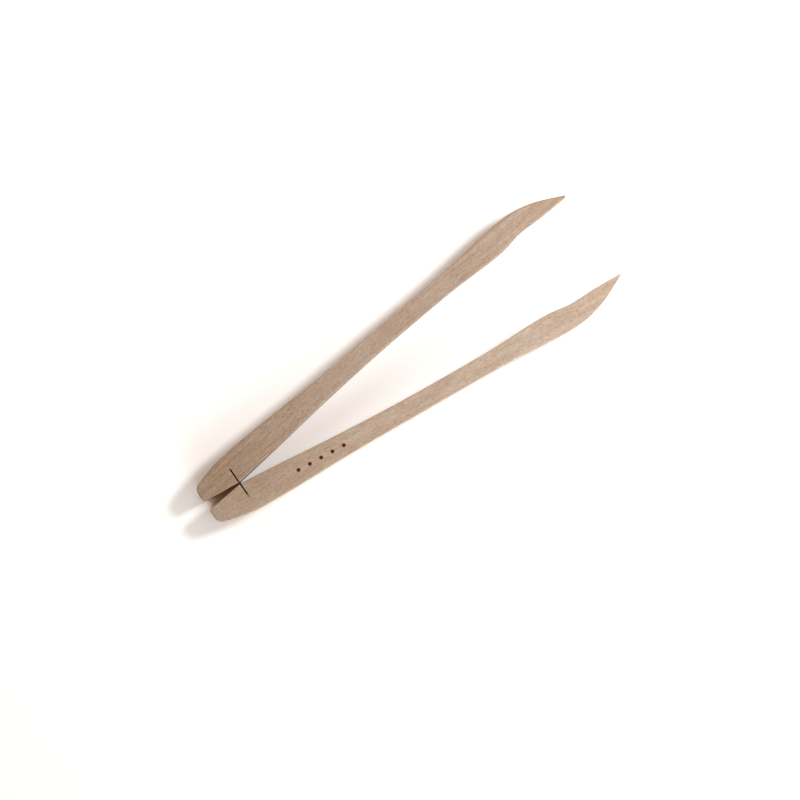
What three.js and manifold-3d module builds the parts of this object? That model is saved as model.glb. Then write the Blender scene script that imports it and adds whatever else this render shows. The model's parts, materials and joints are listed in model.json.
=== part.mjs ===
// Wooden print tongs: two arms of one pattern, the second turned over so that it mirrors the first, joined
// only by a thin spring-steel leaf. The leaf stands in a narrow saw kerf that crosses both arms at the
// fulcrum, and a bed of hard glue at each kerf's blind end holds it. Squeezing the arms bends the leaf.
// Millimetres, +Z up. The tongs lie flat on z = 0 with their tips towards +X, and the origin is the middle
// of the underside of their box. Every shape is drawn from the fulcrum, and one group then moves them all.

import * as THREE from "three";
import { mergeVertices } from "three/addons/utils/BufferGeometryUtils.js";
import Module from "manifold-3d";

const wasm = await Module();
wasm.setup();

// Arms: one board thickness, with distances along the tongs counted from the fulcrum.
const REACH = 256; // forward to the tips
const TAIL = 24; // back to the tail ends
const THICKNESS = 18;
const HALF_GAP = 0.45; // from the long axis to each arm at the fulcrum
const FULCRUM_EDGE = 18.8; // from the long axis to the outer edge at the fulcrum

// How far each arm's inner and outer edges stand from the long axis. They stay nearly parallel down the
// handle, then swell outwards and hook back in to the tip.
const STATIONS = [
  { x: 24, inner: 3.8, outer: 21 },
  { x: 72, inner: 11, outer: 24.1 },
  { x: 120, inner: 16.8, outer: 28.3 },
  { x: 168, inner: 21, outer: 32.7 },
  { x: 204, inner: 22.6, outer: 37.6 },
  { x: 222, inner: 26, outer: 38.9 },
  { x: 238, inner: 26.6, outer: 36.2 },
];
const SHOULDER = { x: -12, outer: 16.2 }; // the outer edge's last station, between the fulcrum and the tail

// The three round corners: radius, distance of the centre from the long axis, and the directions in which
// the arc starts and ends, in degrees from +X.
const NOSE = { radius: 0.6, offset: 28.5, from: -80.5, to: 66.4 };
const TAIL_CORNER = { radius: 5, offset: 8.7, from: 107, to: 180 };
const TAIL_LIP_RADIUS = 1.8;
const TAIL_FLARE = 5.9; // angle in degrees between each arm's inner tail face and the long axis

// Leaf spring, the kerfs that hold it, and the glue at their blind ends.
const LEAF_THICKNESS = 0.5;
const LEAF_HALF_LENGTH = 9.6;
const LEAF_RECESS = 0.5; // of its edges below the arms' faces
const KERF_WIDTH = 0.9;
const KERF_DEPTH = 10.2; // from the long axis
const GLUE_LENGTH = 2;
const UPPER_GLUE_RECESS = 3; // the lower arm's glue fills its kerf flush instead

// Burnt pips sunk in the lower arm's top face, in one row that follows the arm.
const PIP_COUNT = 5;
const PIP_RADIUS = 1.1;
const PIP_SINK = 0.25;
const FIRST_PIP = { x: 33, offset: 13.7 };
const PIP_STEP = { x: 7.6, offset: 0.85 };

const CURVE_STEPS = 8;

const radians = THREE.MathUtils.degToRad;

function onArc(centre, radius, degrees) {
  const angle = radians(degrees);
  return new THREE.Vector2(
    centre.x + radius * Math.cos(angle),
    centre.y + radius * Math.sin(angle),
  );
}

function addArc(shape, centre, radius, from, to) {
  shape.absarc(centre.x, centre.y, radius, radians(from), radians(to), false);
}

// One arm seen from above, anticlockwise from its inner edge at the fulcrum.
function armOutline() {
  const nose = new THREE.Vector2(REACH - NOSE.radius, NOSE.offset);
  const tail = new THREE.Vector2(-TAIL + TAIL_CORNER.radius, TAIL_CORNER.offset);
  const flare = radians(TAIL_FLARE);
  const lipReach = TAIL_LIP_RADIUS * Math.tan((Math.PI / 2 - flare) / 2);
  const lip = new THREE.Vector2(
    -TAIL + TAIL_LIP_RADIUS,
    HALF_GAP + TAIL * Math.tan(flare) + lipReach,
  );

  const shape = new THREE.Shape();
  shape.moveTo(0, HALF_GAP);
  shape.splineThru([
    ...STATIONS.map(({ x, inner }) => new THREE.Vector2(x, inner)),
    onArc(nose, NOSE.radius, NOSE.from),
  ]);
  addArc(shape, nose, NOSE.radius, NOSE.from, NOSE.to);
  shape.splineThru([
    ...STATIONS.toReversed().map(({ x, outer }) => new THREE.Vector2(x, outer)),
    new THREE.Vector2(0, FULCRUM_EDGE),
    new THREE.Vector2(SHOULDER.x, SHOULDER.outer),
    onArc(tail, TAIL_CORNER.radius, TAIL_CORNER.from),
  ]);
  addArc(shape, tail, TAIL_CORNER.radius, TAIL_CORNER.from, TAIL_CORNER.to);
  addArc(shape, lip, TAIL_LIP_RADIUS, 180, 270 - TAIL_FLARE);
  shape.closePath();
  return shape;
}

function solidOf(geometry) {
  const bare = geometry.clone();
  bare.deleteAttribute("normal");
  bare.deleteAttribute("uv");
  const merged = mergeVertices(bare);
  return new wasm.Manifold(
    new wasm.Mesh({
      numProp: 3,
      vertProperties: merged.attributes.position.array,
      triVerts: new Uint32Array(merged.index.array),
    }),
  );
}

function geometryOf(solid) {
  const { vertProperties, triVerts } = solid.getMesh();
  const geometry = new THREE.BufferGeometry();
  geometry.setAttribute("position", new THREE.BufferAttribute(vertProperties, 3));
  geometry.setIndex(new THREE.BufferAttribute(triVerts, 1));
  return geometry;
}

// A box between two heights, centred on x = 0, from y = near to y = far.
function blockBetween(width, near, far, bottom, top) {
  const block = new THREE.BoxGeometry(width, far - near, top - bottom);
  block.translate(0, (near + far) / 2, (bottom + top) / 2);
  return block;
}

// The arm as sawn from the board, with its kerf cut in from the inner edge.
function kerfedArm() {
  const board = new THREE.ExtrudeGeometry(armOutline(), {
    depth: THICKNESS,
    bevelEnabled: false,
    curveSegments: CURVE_STEPS,
  });
  const kerf = blockBetween(KERF_WIDTH, -1, KERF_DEPTH, -1, THICKNESS + 1);
  return solidOf(board).subtract(solidOf(kerf));
}

// The same arm with the pips sunk in the face that is underneath until the arm is turned over.
function markedArm() {
  let arm = kerfedArm();
  for (let i = 0; i < PIP_COUNT; i += 1) {
    const pip = new THREE.CylinderGeometry(PIP_RADIUS, PIP_RADIUS, 2 * PIP_SINK);
    pip.rotateX(Math.PI / 2);
    pip.translate(FIRST_PIP.x + i * PIP_STEP.x, FIRST_PIP.offset + i * PIP_STEP.offset, 0);
    arm = arm.subtract(solidOf(pip));
  }
  return arm;
}

function leafBlank() {
  return blockBetween(
    LEAF_THICKNESS,
    -LEAF_HALF_LENGTH,
    LEAF_HALF_LENGTH,
    LEAF_RECESS,
    THICKNESS - LEAF_RECESS,
  );
}

// Glue in the blind end of a kerf, moulded round the end of the leaf.
function glueBed(recess) {
  const near = KERF_DEPTH - GLUE_LENGTH;
  const fill = blockBetween(KERF_WIDTH, near, KERF_DEPTH, recess, THICKNESS - recess);
  return solidOf(fill).subtract(solidOf(leafBlank()));
}

function named(name, geometry, material) {
  const mesh = new THREE.Mesh(geometry, material);
  mesh.name = name;
  return mesh;
}

const beech = () => new THREE.MeshStandardMaterial({ color: 0xc6a98f, roughness: 0.62 });
const glue = () => new THREE.MeshStandardMaterial({ color: 0x8a6242, roughness: 0.35 });
const blueSteel = new THREE.MeshStandardMaterial({ color: 0x2c2a2e, roughness: 0.38, metalness: 0.9 });

const upperSide = new THREE.Group();
upperSide.add(
  named("upper_arm", geometryOf(kerfedArm()), beech()),
  named("upper_glue_bed", geometryOf(glueBed(UPPER_GLUE_RECESS)), glue()),
);

// Turned over about the long axis, so that its kerf meets the upper arm's.
const lowerSide = new THREE.Group();
lowerSide.rotation.x = Math.PI;
lowerSide.position.z = THICKNESS;
lowerSide.add(
  named("lower_arm", geometryOf(markedArm()), beech()),
  named("lower_glue_bed", geometryOf(glueBed(0)), glue()),
);

const tongs = new THREE.Group();
tongs.position.x = (TAIL - REACH) / 2;
tongs.add(upperSide, lowerSide, named("leaf_spring", leafBlank(), blueSteel));

export default tongs;
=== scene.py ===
"""The looks of the wooden print tongs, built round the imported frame. Metres, +Z up, tips towards +X."""

import json
import math

import bmesh
import bpy
from mathutils import Matrix, Vector


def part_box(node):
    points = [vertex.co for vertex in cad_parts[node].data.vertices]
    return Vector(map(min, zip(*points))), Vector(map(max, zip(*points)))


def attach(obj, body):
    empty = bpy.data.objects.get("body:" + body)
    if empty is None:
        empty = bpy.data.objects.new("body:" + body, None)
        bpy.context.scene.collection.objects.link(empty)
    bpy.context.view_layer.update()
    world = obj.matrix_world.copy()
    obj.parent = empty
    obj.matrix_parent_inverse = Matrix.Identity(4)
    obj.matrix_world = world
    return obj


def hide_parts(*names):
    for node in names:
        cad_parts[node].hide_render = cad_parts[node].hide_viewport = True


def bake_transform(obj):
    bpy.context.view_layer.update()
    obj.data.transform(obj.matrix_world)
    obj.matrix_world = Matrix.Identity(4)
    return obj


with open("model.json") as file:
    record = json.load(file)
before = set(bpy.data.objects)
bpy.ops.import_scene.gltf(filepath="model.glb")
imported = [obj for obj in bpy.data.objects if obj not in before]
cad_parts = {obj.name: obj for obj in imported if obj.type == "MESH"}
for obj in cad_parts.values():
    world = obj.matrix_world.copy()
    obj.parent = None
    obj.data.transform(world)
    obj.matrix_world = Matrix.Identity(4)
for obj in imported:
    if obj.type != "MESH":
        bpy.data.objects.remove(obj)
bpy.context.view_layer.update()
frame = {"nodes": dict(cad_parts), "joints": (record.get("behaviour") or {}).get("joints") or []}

MM = 0.001
TINY = 0.01 * MM

# Places and sizes that come from the frame.
HINGE = Vector(frame["joints"][0]["pos_m"])
ARM_LOW, ARM_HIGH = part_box("upper_arm")
LEAF_LOW, LEAF_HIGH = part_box("leaf_spring")
BED_LOW, BED_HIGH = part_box("upper_glue_bed")
KERF_WIDTH = BED_HIGH.x - BED_LOW.x

# Finish of the pieces, finer than the frame holds.
EASED_EDGE = 0.8 * MM
EDGE_STEPS = 5
NOSE_TAPER = 12 * MM  # the eased edge narrows over this length behind the tips
NOSE_SHARE = 0.4  # of the eased edge that is left at the very tip


# Mesh helpers


def mesh_object(name, points, faces):
    mesh = bpy.data.meshes.new(name)
    mesh.from_pydata([tuple(p) for p in points], [], faces)
    mesh.validate()
    obj = bpy.data.objects.new(name, mesh)
    bpy.context.scene.collection.objects.link(obj)
    return obj


def bridge(rings):
    """Quads between closed rings of equal length, listed ring after ring."""
    count = len(rings[0])
    quads = []
    for r in range(len(rings) - 1):
        low, high = r * count, (r + 1) * count
        for i in range(count):
            j = (i + 1) % count
            quads.append((low + i, low + j, high + j, high + i))
    return quads


def loft(name, rings):
    """A closed solid through rings of points that run anticlockwise seen from the last ring's side."""
    count = len(rings[0])
    total = count * len(rings)
    faces = bridge(rings)
    faces.append(tuple(reversed(range(count))))
    faces.append(tuple(range(total - count, total)))
    return mesh_object(name, [p for ring in rings for p in ring], faces)


def block(name, low, high):
    corners = [(low.x, low.y), (high.x, low.y), (high.x, high.y), (low.x, high.y)]
    return loft(name, [[Vector((x, y, z)) for x, y in corners] for z in (low.z, high.z)])


def settle(obj):
    """Applies the object's modifiers to its mesh."""
    view = bpy.context.evaluated_depsgraph_get()
    view.update()
    mesh = bpy.data.meshes.new_from_object(obj.evaluated_get(view))
    obj.modifiers.clear()
    obj.data = mesh


def subtract(obj, cutter):
    cut = obj.modifiers.new("cut", "BOOLEAN")
    cut.operation = "DIFFERENCE"
    cut.solver = "EXACT"
    cut.object = cutter
    settle(obj)
    bpy.data.objects.remove(cutter)


def shade(obj, sharp_degrees=40):
    """Smooth shading that keeps corners sharp and large flat faces flat."""
    for face in obj.data.polygons:
        face.use_smooth = True
    obj.data.set_sharp_from_angle(angle=math.radians(sharp_degrees))
    flat = obj.modifiers.new("flat", "WEIGHTED_NORMAL")
    flat.keep_sharp = True
    settle(obj)


# Shapes read from the frame


def walk(rim):
    """One closed loop of vertices along rim edges, which it uses up."""
    edge = rim.pop()
    start, here = edge.verts
    loop = [start]
    while here is not start:
        loop.append(here)
        edge = next(e for e in here.link_edges if e in rim)
        rim.remove(edge)
        here = edge.other_vert(here)
    return [v.co.copy() for v in loop]


def area(loop):
    return sum(a.cross(b).z for a, b in zip(loop, loop[1:] + loop[:1])) / 2


def top_loops(node):
    """The loops round a CAD node's top face, anticlockwise, with its outline first."""
    bm = bmesh.new()
    bm.from_mesh(frame["nodes"][node].data)
    bmesh.ops.remove_doubles(bm, verts=bm.verts, dist=TINY / 10)
    top = max(v.co.z for v in bm.verts)
    cap = {f for f in bm.faces if min(v.co.z for v in f.verts) > top - TINY}
    rim = [e for e in bm.edges if sum(f in cap for f in e.link_faces) == 1]
    loops = []
    while rim:
        loop = walk(rim)
        loops.append(loop if area(loop) > 0 else loop[::-1])
    bm.free()
    return sorted(loops, key=lambda loop: -abs(area(loop)))


def without_kerf(outline):
    """The arm's outline as it was before the kerf was sawn."""
    return [
        p
        for p in outline
        if abs(p.x - HINGE.x) > KERF_WIDTH or not BED_LOW.y < abs(p.y) < BED_HIGH.y + TINY
    ]


def outward(outline):
    """The outward direction at each point of an anticlockwise outline."""
    directions = []
    for before, here, after in zip(outline[-1:] + outline[:-1], outline, outline[1:] + outline[:1]):
        along = (here - before).normalized() + (after - here).normalized()
        directions.append(Vector((along.y, -along.x, 0)).normalized())
    return directions


# Pieces


def eased_board(name, outline):
    """The outline as a board of the arms' thickness, with its edges eased round."""
    directions = outward(outline)
    radii = []
    for p in outline:
        behind_tip = min(1, (ARM_HIGH.x - p.x) / NOSE_TAPER)
        radii.append(EASED_EDGE * (NOSE_SHARE + (1 - NOSE_SHARE) * behind_tip))
    turns = [math.pi / 2 * k / EDGE_STEPS for k in range(EDGE_STEPS + 1)]
    rings = []
    for turn in reversed(turns):
        rings.append(eased_ring(outline, directions, radii, turn, ARM_LOW.z, 1))
    for turn in turns:
        rings.append(eased_ring(outline, directions, radii, turn, ARM_HIGH.z, -1))
    return loft(name, rings)


def eased_ring(outline, directions, radii, turn, face, inwards):
    ring = []
    for p, out, radius in zip(outline, directions, radii):
        side = p - out * radius * (1 - math.cos(turn))
        ring.append(Vector((side.x, side.y, face + inwards * radius * (1 - math.sin(turn)))))
    return ring


def kerf_cutter(side):
    """The saw's path into one arm, from beyond its inner edge to the kerf's blind end."""
    past = ARM_HIGH.z - ARM_LOW.z
    near, far = sorted((-side * MM, side * BED_HIGH.y))
    return block(
        "kerf",
        Vector((BED_LOW.x, near, ARM_LOW.z - past)),
        Vector((BED_HIGH.x, far, ARM_HIGH.z + past)),
    )


def pip_cutter(rim):
    """A shallow round dish that is burnt in inside a CAD pip's rim."""
    centre = sum(rim, Vector()) / len(rim)
    profile = [(0.72, -0.25 * MM), (0.88, -0.2 * MM), (0.97, -0.1 * MM), (1, 0), (1.05, MM)]
    rings = []
    for share, height in profile:
        rings.append([centre + (p - centre) * share + Vector((0, 0, height)) for p in rim])
    return loft("pip", rings)


def make_arm(name, node, side, pips):
    arm = eased_board(name, without_kerf(top_loops(node)[0]))
    subtract(arm, kerf_cutter(side))
    for rim in pips:
        subtract(arm, pip_cutter(rim))
    shade(arm)
    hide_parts(node)
    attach(arm, node)
    return arm


def make_leaf():
    """The spring leaf, with its sheared edges broken, in many short steps along its length."""
    steps = 40
    corner = 0.08 * MM
    end_share = 0.92  # of the section that is left at each end
    half = (LEAF_HIGH - LEAF_LOW) / 2
    middle = (LEAF_HIGH + LEAF_LOW) / 2
    section = [
        (half.x, -half.z + corner),
        (half.x, half.z - corner),
        (half.x - corner, half.z),
        (-half.x + corner, half.z),
        (-half.x, half.z - corner),
        (-half.x, -half.z + corner),
        (-half.x + corner, -half.z),
        (half.x - corner, -half.z),
    ]
    stations = [(-half.y, end_share)]
    for k in range(steps + 1):
        stations.append(((half.y - corner) * (2 * k / steps - 1), 1))
    stations.append((half.y, end_share))
    rings = []
    for y, share in reversed(stations):
        rings.append([middle + Vector((x * share, y, z)) for x, z in section])
    leaf = loft("leaf_spring_steel", rings)
    shade(leaf)
    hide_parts("leaf_spring")
    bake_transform(leaf)
    return leaf


def make_glue(name, node, body):
    """A glue bed with a sunken skin at its top and bottom, moulded round the leaf's end."""
    low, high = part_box(node)
    centre = (low + high) / 2
    half = (high - low) / 2
    sink = 0.12 * MM
    skin = 0.5  # of the section that the sunken middle takes up
    rings = []
    for share, z in ((skin, low.z + sink), (1, low.z), (1, high.z), (skin, high.z - sink)):
        ring = []
        for sx, sy in ((-1, -1), (1, -1), (1, 1), (-1, 1)):
            ring.append(Vector((centre.x + sx * half.x * share, centre.y + sy * half.y * share, z)))
        rings.append(ring)
    glue = loft(name, rings)
    subtract(glue, block("leaf_end", LEAF_LOW, LEAF_HIGH))
    shade(glue, sharp_degrees=60)
    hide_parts(node)
    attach(glue, body)
    return glue


# Materials


def tone(red, green, blue):
    """A colour given as 0 to 255 screen values, in the linear values the nodes take."""

    def linear(value):
        share = value / 255
        return share / 12.92 if share <= 0.04045 else ((share + 0.055) / 1.055) ** 2.4

    return (linear(red), linear(green), linear(blue), 1)


class Nodes:
    """The node tree of one material or world, and short ways to add nodes to it."""

    def __init__(self, owner):
        owner.use_nodes = True
        self.owner = owner
        self.tree = owner.node_tree
        self.tree.nodes.clear()

    def add(self, kind, inputs, **settings):
        node = self.tree.nodes.new("ShaderNode" + kind)
        for key, value in settings.items():
            setattr(node, key, value)
        for key, value in inputs.items():
            if isinstance(value, bpy.types.NodeSocket):
                self.tree.links.new(value, node.inputs[key])
            else:
                node.inputs[key].default_value = value
        return node

    def math(self, operation, a, b=0.0):
        return self.add("Math", {0: a, 1: b}, operation=operation).outputs[0]

    def vector(self, operation, a, b=(0, 0, 0)):
        return self.add("VectorMath", {0: a, 1: b}, operation=operation)

    def combine(self, x, y, z):
        return self.add("CombineXYZ", {0: x, 1: y, 2: z}).outputs[0]

    def scaled(self, x, y, z, long, wide, deep):
        """A place whose features come out this many millimetres long, wide and deep."""
        return self.combine(
            self.math("DIVIDE", x, long), self.math("DIVIDE", y, wide), self.math("DIVIDE", z, deep)
        )

    def cells(self, place):
        return self.add("TexVoronoi", {"Vector": place, "Scale": 1.0})

    def noise(self, place, detail=2.0, roughness=0.5):
        inputs = {"Vector": place, "Scale": 1.0, "Detail": detail, "Roughness": roughness}
        return self.add("TexNoise", inputs).outputs[0]

    def stretch(self, value, low, high, to_low=0.0, to_high=1.0):
        inputs = {0: value, 1: low, 2: high, 3: to_low, 4: to_high}
        return self.add("MapRange", inputs, interpolation_type="SMOOTHSTEP").outputs[0]

    def mix(self, share, a, b, blend="MIX"):
        return self.add("Mix", {0: share, 6: a, 7: b}, data_type="RGBA", blend_type=blend).outputs[2]

    def surface(self, inputs):
        shader = self.add("BsdfPrincipled", inputs)
        self.add("OutputMaterial", {0: shader.outputs[0]})
        return self.owner


def beech(name, grain_degrees, seed, light, dark, tail_shade, pips=()):
    """Sanded beech sawn from the side of a log: soft rings, fibre streaks and short dark ray flecks."""
    g = Nodes(bpy.data.materials.new(name))
    coordinates = g.add("TexCoord", {})
    place = coordinates.outputs["Object"]
    grain = (0, 0, math.radians(-grain_degrees))
    turned = g.add("Mapping", {0: place, "Rotation": grain, "Scale": (1 / MM,) * 3, "Location": seed})
    axes = g.add("SeparateXYZ", {0: turned.outputs[0]}).outputs
    along, across, up = axes[0], axes[1], axes[2]

    # Distance from the log's heart, in mm, and the way round it.
    heart_across, heart_down = 26.0, 58.0
    sway = g.noise(g.combine(g.math("MULTIPLY", along, 0.006), g.math("MULTIPLY", across, 0.03), 0.0))
    from_heart = g.math("ADD", up, heart_down)
    to_side = g.math("ADD", across, heart_across)
    radius = g.vector("LENGTH", g.combine(0.0, to_side, from_heart)).outputs["Value"]
    radius = g.math("ADD", radius, g.math("MULTIPLY", sway, 9.0))
    around = g.math("MULTIPLY", g.math("ARCTAN2", to_side, from_heart), heart_down)

    ring_width = 2.3
    ring = g.math("FRACT", g.math("DIVIDE", radius, ring_width))
    late_wood = g.math(
        "MULTIPLY", g.stretch(ring, 0.45, 0.93), g.math("SUBTRACT", 1.0, g.stretch(ring, 0.95, 1.0))
    )

    # Fibres, and broader streaks and clouds that run with the grain.
    fibres = g.noise(g.scaled(along, around, radius, 2.7, 0.3, 0.3), detail=4.0, roughness=0.65)
    streaks = g.noise(g.scaled(along, around, radius, 60.0, 2.0, 2.0), detail=2.0)
    clouds = g.noise(g.scaled(along, across, up, 30.0, 9.0, 9.0), detail=2.0)
    blush = g.noise(g.scaled(along, around, radius, 7.0, 0.75, 0.75), detail=2.0)

    facing = g.add("Mapping", {0: coordinates.outputs["Normal"], "Rotation": grain})
    facing = g.add("SeparateXYZ", {0: facing.outputs[0]}).outputs
    end_on, side_on = g.math("ABSOLUTE", facing[0]), g.math("ABSOLUTE", facing[1])

    # Rays: thin ribbons that run out from the heart. A flat face cuts them as dark dashes, and a side face
    # shows them fainter.
    rays = g.cells(g.scaled(along, around, radius, 2.8, 0.27, 5.0))
    chance = g.add("SeparateColor", {0: rays.outputs["Color"]}).outputs[0]
    ray = g.math("SUBTRACT", 1.0, g.stretch(rays.outputs["Distance"], 0.14, 0.38))
    ray = g.math("MULTIPLY", ray, g.stretch(chance, 0.15, 0.85))
    ray = g.math("MULTIPLY", ray, g.stretch(side_on, 0.4, 0.9, 1.0, 0.35))

    # Vessels: pin-pricks on the end grain, hair lines along it.
    vessels = g.cells(g.scaled(along, around, radius, 4.0, 0.24, 0.24))
    vessel = g.math("SUBTRACT", 1.0, g.stretch(vessels.outputs["Distance"], 0.16, 0.3))

    wood = g.mix(g.stretch(streaks, 0.3, 0.7), light, dark)
    wood = g.mix(g.stretch(clouds, 0.35, 0.68), wood, tone(250, 244, 236), blend="MULTIPLY")
    wood = g.mix(g.stretch(blush, 0.4, 0.62), wood, tone(249, 243, 247), blend="MULTIPLY")
    wood = g.mix(g.math("MULTIPLY", late_wood, 0.3), wood, tone(238, 224, 212), blend="MULTIPLY")
    wood = g.mix(g.stretch(fibres, 0.38, 0.62), wood, tone(230, 222, 215), blend="MULTIPLY")
    wood = g.mix(g.math("MULTIPLY", ray, 0.8), wood, tone(204, 178, 158), blend="MULTIPLY")
    wood = g.mix(g.math("MULTIPLY", vessel, 0.5), wood, tone(206, 188, 172), blend="MULTIPLY")

    # Painted shade: the wood is painted darker and a little browner towards the tails, where less of the
    # window's light falls.
    from_tail = g.math("SUBTRACT", g.add("SeparateXYZ", {0: place}).outputs[0], ARM_LOW.x)
    wood = g.mix(g.stretch(from_tail, 10 * MM, 100 * MM, 1.0, 0.0), wood, tail_shade, blend="MULTIPLY")

    # End grain is darker.
    end_grain = g.stretch(end_on, 0.55, 0.95)
    wood = g.mix(g.math("MULTIPLY", end_grain, 0.7), wood, tone(198, 174, 154), blend="MULTIPLY")

    height = g.math("SUBTRACT", g.math("MULTIPLY", fibres, 0.5), g.math("MULTIPLY", ray, 0.35))
    height = g.math("SUBTRACT", height, g.math("MULTIPLY", vessel, 0.5))
    rough = g.stretch(fibres, 0.2, 0.8, 0.52, 0.66)

    if pips:
        scorch = scorched(g, place, pips)
        wood = g.mix(g.stretch(scorch, 0.0, 0.7), wood, tone(112, 58, 20))
        wood = g.mix(g.stretch(scorch, 0.6, 1.0), wood, tone(66, 24, 4))
        rough = g.stretch(scorch, 0.3, 0.9, rough, 0.36)

    bump = g.add("Bump", {"Height": height, "Strength": 0.5, "Distance": 0.04 * MM})
    return g.surface({"Base Color": wood, "Roughness": rough, "Normal": bump.outputs[0], "IOR": 1.4})


def scorched(g, place, rims):
    """How burnt the wood is near each pip, from 0 well outside to 1 inside."""
    burnt = 0.0
    for rim in rims:
        centre = sum(rim, Vector()) / len(rim)
        radius = (rim[0] - centre).length
        distance = g.vector("DISTANCE", place, tuple(centre)).outputs["Value"]
        near = g.stretch(distance, radius * 0.8, radius * 1.35, 1.0, 0.0)
        burnt = g.math("MAXIMUM", near, burnt)
    return burnt


def blued_steel_with_kerf_shade():
    g = Nodes(bpy.data.materials.new("blued_spring_steel_with_kerf_shade"))
    place = g.add("TexCoord", {}).outputs["Object"]
    scaled = g.add("Mapping", {0: place, "Scale": (1 / MM,) * 3}).outputs[0]
    rolled = g.add("Mapping", {0: scaled, "Scale": (6.0, 0.15, 9.0)}).outputs[0]
    scratches = g.noise(rolled, detail=4.0, roughness=0.65)
    clouds = g.noise(g.add("Mapping", {0: scaled, "Scale": (0.3, 0.3, 0.3)}).outputs[0])
    # The dark, warm brown is partly the blued steel's own tone and partly painted shade of the deep kerf,
    # with the wood's warm bounce light.
    colour = g.mix(g.stretch(clouds, 0.35, 0.65), tone(52, 28, 18), tone(60, 30, 18))
    colour = g.mix(g.stretch(scratches, 0.55, 0.85), colour, tone(90, 66, 52))
    bump = g.add("Bump", {"Height": scratches, "Strength": 0.3, "Distance": 0.01 * MM})
    return g.surface(
        {
            "Base Color": colour,
            "Metallic": 1.0,
            "Roughness": g.stretch(scratches, 0.2, 0.8, 0.28, 0.46),
            "Normal": bump.outputs[0],
        }
    )


def hard_glue():
    g = Nodes(bpy.data.materials.new("hard_glue"))
    place = g.add("TexCoord", {}).outputs["Object"]
    clouds = g.noise(g.add("Mapping", {0: place, "Scale": (1.6 / MM,) * 3}).outputs[0], detail=3.0)
    colour = g.mix(g.stretch(clouds, 0.3, 0.7), tone(132, 104, 82), tone(104, 78, 58))
    bump = g.add("Bump", {"Height": clouds, "Strength": 0.4, "Distance": 0.03 * MM})
    return g.surface({"Base Color": colour, "Roughness": 0.32, "Normal": bump.outputs[0]})


def white_floor():
    g = Nodes(bpy.data.materials.new("white_floor"))
    place = g.add("TexCoord", {}).outputs["Object"]
    mottle = g.noise(g.add("Mapping", {0: place, "Scale": (3.0,) * 3}).outputs[0])
    colour = g.mix(mottle, tone(250, 250, 250), tone(252, 252, 252))
    return g.surface({"Base Color": colour, "Roughness": 0.9})


def dress(obj, material):
    obj.data.materials.clear()
    obj.data.materials.append(material)


# Studio

PICTURE_TURN = math.radians(35.07)  # of the tongs' long axis, anticlockwise from the picture's horizontal
PICTURE_RIGHT = Vector((math.cos(PICTURE_TURN), -math.sin(PICTURE_TURN), 0))
PICTURE_UP = Vector((math.sin(PICTURE_TURN), math.cos(PICTURE_TURN), 0))
PICTURE_WIDTH = 474.2 * MM  # of the field of view, at the arms' top faces
AIM = Vector((HINGE.x + 106.1 * MM, -14.35 * MM, ARM_HIGH.z))  # in the middle of the picture
CAMERA_DISTANCE = 2.2
CAMERA_LEAN = math.radians(1.2)  # off the vertical, towards the picture's lower right
TENT_STRENGTH = 1.79
STRIP_STRENGTH = 0.75
BACKDROP = tone(232, 224, 218)  # the tone that the far floor fades to
WINDOW_HEIGHT = math.radians(44)  # above the floor, seen from the middle of the picture
WINDOW_ASIDE = -0.05  # of its distance, towards the lower arm
WINDOW_DISTANCE = 0.78
WINDOW_SIZE = 0.2
WINDOW_POWER = 6.0


def make_floor():
    reach = 6.0
    floor = mesh_object(
        "floor",
        [(-reach, -reach, 0), (reach, -reach, 0), (reach, reach, 0), (-reach, reach, 0)],
        [(0, 1, 2, 3)],
    )
    dress(floor, white_floor())


def make_camera():
    data = bpy.data.cameras.new("camera")
    camera = bpy.data.objects.new("camera", data)
    bpy.context.scene.collection.objects.link(camera)
    lean = (PICTURE_RIGHT - PICTURE_UP).normalized()
    back = Vector((0, 0, math.cos(CAMERA_LEAN))) + lean * math.sin(CAMERA_LEAN)
    across = (PICTURE_RIGHT - back * PICTURE_RIGHT.dot(back)).normalized()
    turn = Matrix((across, back.cross(across), back)).transposed()
    camera.matrix_world = Matrix.LocRotScale(AIM + back * CAMERA_DISTANCE, turn, None)
    data.sensor_width = 36
    data.lens = data.sensor_width * CAMERA_DISTANCE / PICTURE_WIDTH
    data.clip_start = 0.01
    bpy.context.scene.camera = camera


def area_light(name, place, size, power):
    data = bpy.data.lights.new(name, "AREA")
    data.shape = "DISK"
    data.size = size
    data.energy = power
    light = bpy.data.objects.new(name, data)
    bpy.context.scene.collection.objects.link(light)
    light.location = AIM + place
    light.rotation_mode = "QUATERNION"
    light.rotation_quaternion = (-place).to_track_quat("-Z", "Y")


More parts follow.
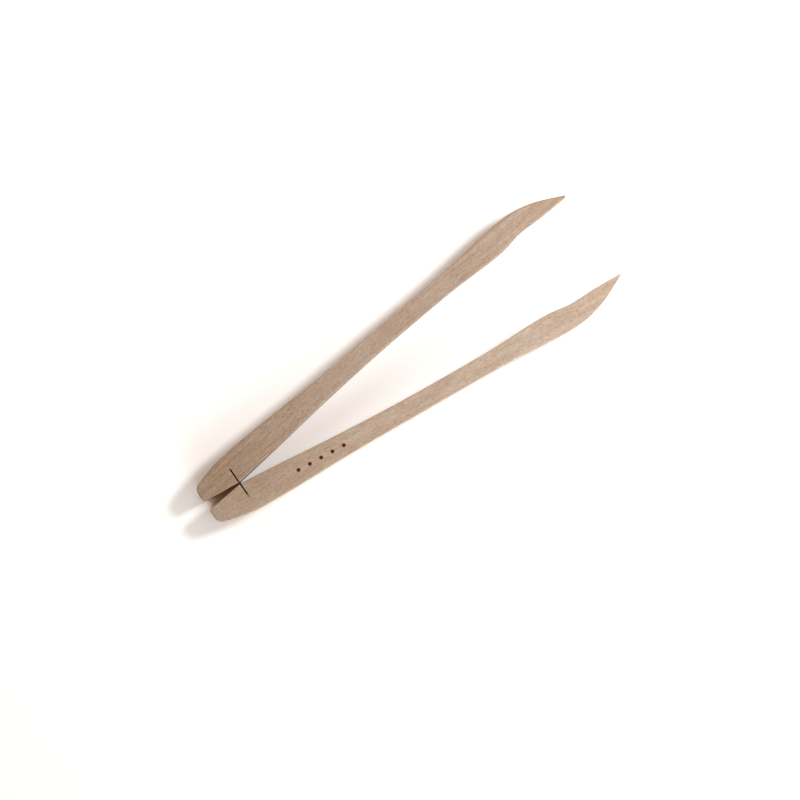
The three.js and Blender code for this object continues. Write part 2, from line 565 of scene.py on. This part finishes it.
def light_studio():
    """Walls of light on both sides of the tongs, mostly dark overhead, and a window beyond the tips."""
    tent = Nodes(bpy.data.worlds.new("tent"))
    look = tent.add("SeparateXYZ", {0: tent.add("TexCoord", {}).outputs["Generated"]}).outputs
    aside = tent.math("ABSOLUTE", look[1])
    walls = tent.stretch(aside, 0.2, 0.75, 0.12, 1.0)
    overhead = tent.stretch(look[2], 0.6, 0.93, 1.0, 0.08)
    low_wall = tent.stretch(look[1], -1.0, -0.75, 2.5, 0.0)
    strength = tent.math("ADD", tent.math("MULTIPLY", overhead, walls), low_wall)
    strength = tent.math("MULTIPLY", strength, TENT_STRENGTH)

    # The light is warm behind the tails.
    colour = tent.mix(tent.stretch(look[0], -0.8, -0.2), tone(235, 180, 135), tone(248, 254, 255))

    # A warm strip along the tongs' axis overhead, which reaches down into the gap between the tails.
    strip = tent.stretch(aside, 0.08, 0.14, 1.0, 0.0)
    strip = tent.math("MULTIPLY", strip, tent.stretch(look[2], 0.5, 0.65))
    strength = tent.math("MAXIMUM", strength, tent.math("MULTIPLY", strip, STRIP_STRENGTH))
    colour = tent.mix(strip, colour, tone(255, 170, 90))

    # The camera sees a plain backdrop in its place.
    lights = tent.add("Background", {"Color": colour, "Strength": strength})
    backdrop = tent.add("Background", {"Color": BACKDROP})
    seen = tent.add("LightPath", {}).outputs["Is Camera Ray"]
    both = tent.add("MixShader", {0: seen, 1: lights.outputs[0], 2: backdrop.outputs[0]})
    tent.add("OutputWorld", {0: both.outputs[0]})
    bpy.context.scene.world = tent.owner

    place = Vector((math.cos(WINDOW_HEIGHT), WINDOW_ASIDE, math.sin(WINDOW_HEIGHT))) * WINDOW_DISTANCE
    area_light("window", place, WINDOW_SIZE, WINDOW_POWER)
    bpy.context.scene.view_settings.view_transform = "Standard"


# The tongs

pip_rims = top_loops("lower_arm")[1:]
upper_arm = make_arm("upper_arm_wood", "upper_arm", 1, [])
lower_arm = make_arm("lower_arm_wood", "lower_arm", -1, pip_rims)
leaf = make_leaf()
upper_glue = make_glue("upper_glue", "upper_glue_bed", "upper_arm")
lower_glue = make_glue("lower_glue", "lower_glue_bed", "lower_arm")

GRAIN_LEAN = 5.5  # degrees between each arm's grain and the long axis
# The tone that darkens each arm towards the tails is painted shade, standing in for the light that falls
# off there.
upper_wood = beech(
    "beech_upper",
    GRAIN_LEAN,
    seed=(31, 5, 0),
    light=tone(169, 155, 139),
    dark=tone(158, 143, 127),
    tail_shade=tone(238, 230, 219),
)
lower_wood = beech(
    "beech_lower",
    -GRAIN_LEAN,
    seed=(170, -9, 4),
    light=tone(179, 166, 150),
    dark=tone(169, 156, 141),
    tail_shade=tone(238, 235, 231),
    pips=pip_rims,
)
dress(upper_arm, upper_wood)
dress(lower_arm, lower_wood)
dress(leaf, blued_steel_with_kerf_shade())
glue_material = hard_glue()
dress(upper_glue, glue_material)
dress(lower_glue, glue_material)

make_floor()
light_studio()
make_camera()
